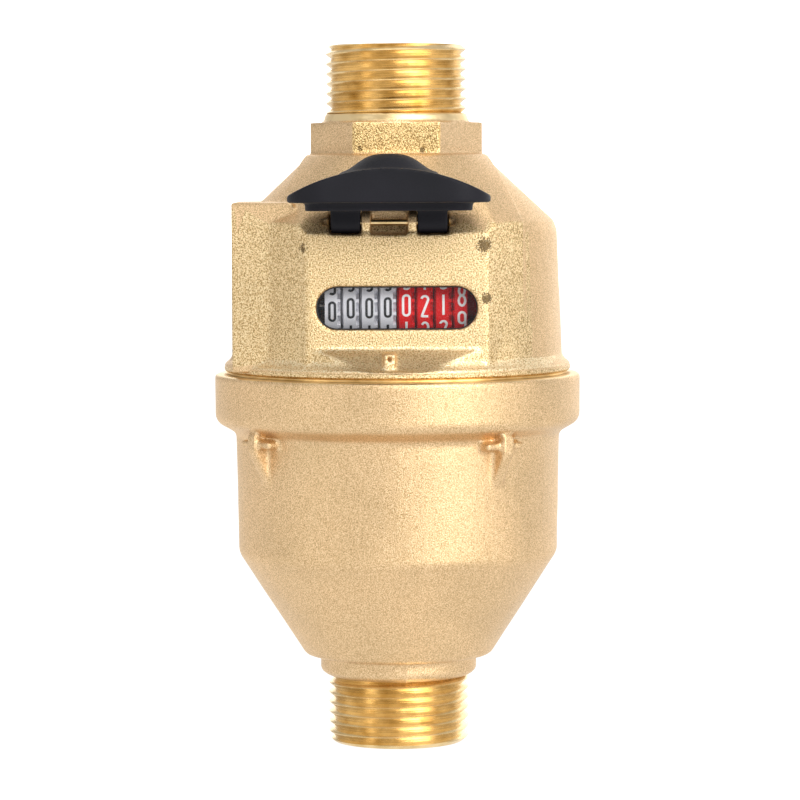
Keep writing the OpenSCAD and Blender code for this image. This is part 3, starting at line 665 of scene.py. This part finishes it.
def tubeMesh(lines, thickness, resolution=1):
    curve = bpy.data.curves.new("stroke", "CURVE")
    curve.dimensions = "3D"
    curve.bevel_depth = thickness / 2 * mm
    curve.bevel_resolution = resolution
    curve.use_fill_caps = True
    for points, closed in lines:
        if closed:
            points = [p for i, p in enumerate(points)
                      if (Vector(p) - Vector(points[i - 1])).length > samePlace]
        spline = curve.splines.new("POLY")
        spline.points.add(len(points) - 1)
        for spot, (x, y) in zip(spline.points, points):
            spot.co = (x * mm, y * mm, 0, 1)
        spline.use_cyclic_u = closed
    holder = bpy.data.objects.new("stroke", curve)
    bpy.context.scene.collection.objects.link(holder)
    bpy.context.view_layer.update()
    mesh = bpy.data.meshes.new_from_object(holder.evaluated_get(bpy.context.evaluated_depsgraph_get()))
    bpy.data.objects.remove(holder)
    bpy.data.curves.remove(curve)
    return mesh


digitMeshes = {}
for kind in ("white", "red"):
    plan = digitPlan[kind]
    for digit in range(10):
        lines = digitStrokes(digit, plan["width"], plan["height"])
        lines = [(divided(points, closed, digitPlan["step"]), closed) for points, closed in lines]
        digitMeshes[kind, digit] = tubeMesh(lines, plan["stroke"])
for index, (shown, turn) in enumerate(zip(digitPlan["shown"], digitPlan["turns"]), 1):
    node = f"drum_{index}"
    kind = "red" if index > digitPlan["whites"] else "white"
    plan = digitPlan[kind]
    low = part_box(node)[0]
    axle = Vector(joints[node + "_spin"]["pos_m"])
    radius = axle.z - low.z
    rimStart = low.x + (digitPlan["carry"] * mm if index > 1 else 0)  # the first drum has no carry teeth
    middle = rimStart + digitPlan["middle"] * mm
    bm = bmesh.new()
    for digit in range(10):
        start = len(bm.verts)
        bm.from_mesh(digitMeshes[kind, digit])
        bm.verts.ensure_lookup_table()
        base = math.radians(digitPlan["angle"] * (shown - digit) + turn)
        for vert in bm.verts[start:]:
            angle = base + vert.co.y / radius
            reach = radius + digitPlan["lift"] * mm + vert.co.z * digitPlan["flat"]
            across = axle.y - reach * math.cos(angle)
            vert.co = Vector((middle + vert.co.x, across, axle.z + reach * math.sin(angle)))
    ink = plastics[plan["ink"]]
    pieceFrom(bm, f"digits_{index}", (ink,), f"drum_{index}_wheel", smoothAngle=40.0)
for mesh in digitMeshes.values():
    bpy.data.meshes.remove(mesh)
print("digits made")


# Painted shade: a dark bead round the front edge of the lens, standing in for the shade in the gap there
beadPlan = {"width": 36.6, "height": 9.6, "thick": 0.34, "aboveRim": 16.6, "out": 33.0, "steps": 24}
beadRound = beadPlan["height"] / 2
beadStraight = beadPlan["width"] / 2 - beadRound
beadLine = arcOf(beadStraight, 0, beadRound, beadRound, -90, 90, beadPlan["steps"])
beadLine += arcOf(-beadStraight, 0, beadRound, beadRound, 90, 270, beadPlan["steps"])
beadMesh = tubeMesh([(beadLine, True)], beadPlan["thick"], resolution=2)
bm = bmesh.new()
bm.from_mesh(beadMesh)
bpy.data.meshes.remove(beadMesh)
for vert in bm.verts:
    x, z, y = vert.co
    vert.co = Vector((x, -beadPlan["out"] * mm - y, rimTop + beadPlan["aboveRim"] * mm + z))
bmesh.ops.recalc_face_normals(bm, faces=bm.faces)
pieceFrom(bm, "lensShadeBead", (plastics["sealRubber"],), "root", smoothAngle=60.0)
print("lens bead made")


# Studio: an evenly white floor, a bright wall behind, soft boxes at the sides, in front and above
studio = {
    "floor": {"faces": (0, 0, 1), "place": (0, 0, -0.0002), "size": 8.0, "colour": (0.0, 0.0, 0.0)},
    "backdrop": {"faces": (0, -1, 0), "place": (1.6, 3.0, 0.0), "size": 5.6, "colour": (0.92, 0.92, 0.93)},
    "planeRough": 0.7,
    "planeGlow": 1.0,
    "world": 0.64,
    "lights": (  # name, place and size in metres, watts
        ("keyRight", (0.95, -1.05, 0.45), (0.85, 1.2), 10.5),
        ("fillLeft", (-1.15, -0.85, 0.42), (0.40, 1.1), 2.0),
        ("topSoft", (0.0, -0.2, 1.35), (1.0, 0.8), 2.4),
        ("frontSoft", (0.52, -1.40, 0.78), (0.9, 0.5), 6.2),
        ("frontHigh", (0.40, -0.95, 1.15), (0.9, 0.5), 6.5),
    ),
    "aim": (0.0, 0.0, 0.09),
}


def stagePlane(name):
    plan = studio[name]
    bm = bmesh.new()
    bmesh.ops.create_grid(bm, x_segments=1, y_segments=1, size=plan["size"] / 2)
    turn = Vector((0, 0, 1)).rotation_difference(Vector(plan["faces"])).to_matrix()
    bmesh.ops.rotate(bm, cent=(0, 0, 0), verts=bm.verts, matrix=turn)
    bmesh.ops.translate(bm, verts=bm.verts, vec=plan["place"])
    mesh = bpy.data.meshes.new(name)
    bm.to_mesh(mesh)
    bm.free()
    plane = bpy.data.objects.new(name, mesh)
    bpy.context.scene.collection.objects.link(plane)
    material, _, shader = blankMaterial(name)
    shader.inputs["Base Color"].default_value = (*plan["colour"], 1.0)
    shader.inputs["Roughness"].default_value = studio["planeRough"]
    shader.inputs["Emission Color"].default_value = (1.0, 1.0, 1.0, 1.0)
    shader.inputs["Emission Strength"].default_value = studio["planeGlow"]
    mesh.materials.append(material)


def softBox(name, place, size, power):
    lamp = bpy.data.lights.new(name, "AREA")
    lamp.shape = "RECTANGLE"
    lamp.size, lamp.size_y = size
    lamp.energy = power
    holder = bpy.data.objects.new(name, lamp)
    holder.location = place
    holder.rotation_euler = (Vector(studio["aim"]) - Vector(place)).to_track_quat("-Z", "Y").to_euler()
    bpy.context.scene.collection.objects.link(holder)


stagePlane("floor")
stagePlane("backdrop")
for light in studio["lights"]:
    softBox(*light)
world = bpy.data.worlds.new("studio")
world.use_nodes = True
background = world.node_tree.nodes["Background"]
background.inputs["Color"].default_value = (1.0, 1.0, 1.0, 1.0)
background.inputs["Strength"].default_value = studio["world"]
bpy.context.scene.world = world
bpy.context.scene.view_settings.view_transform = "Standard"

# Camera: just below the hexagon's height, far off, looking slightly down
cameraPlan = {
    "lens": 160.0,
    "place": (0.0006, -0.8428, 0.13772),
    "aim": (0.0006, 0.0, 0.08107),
    "roll": -0.25,
}
cameraData = bpy.data.cameras.new("camera")
cameraData.lens = cameraPlan["lens"]
camera = bpy.data.objects.new("camera", cameraData)
camera.location = cameraPlan["place"]
toAim = (Vector(cameraPlan["aim"]) - camera.location).to_track_quat("-Z", "Y")
camera.rotation_euler = (toAim @ Quaternion((0, 0, 1), math.radians(cameraPlan["roll"]))).to_euler()
bpy.context.scene.collection.objects.link(camera)
bpy.context.scene.camera = camera
print("studio and camera set")
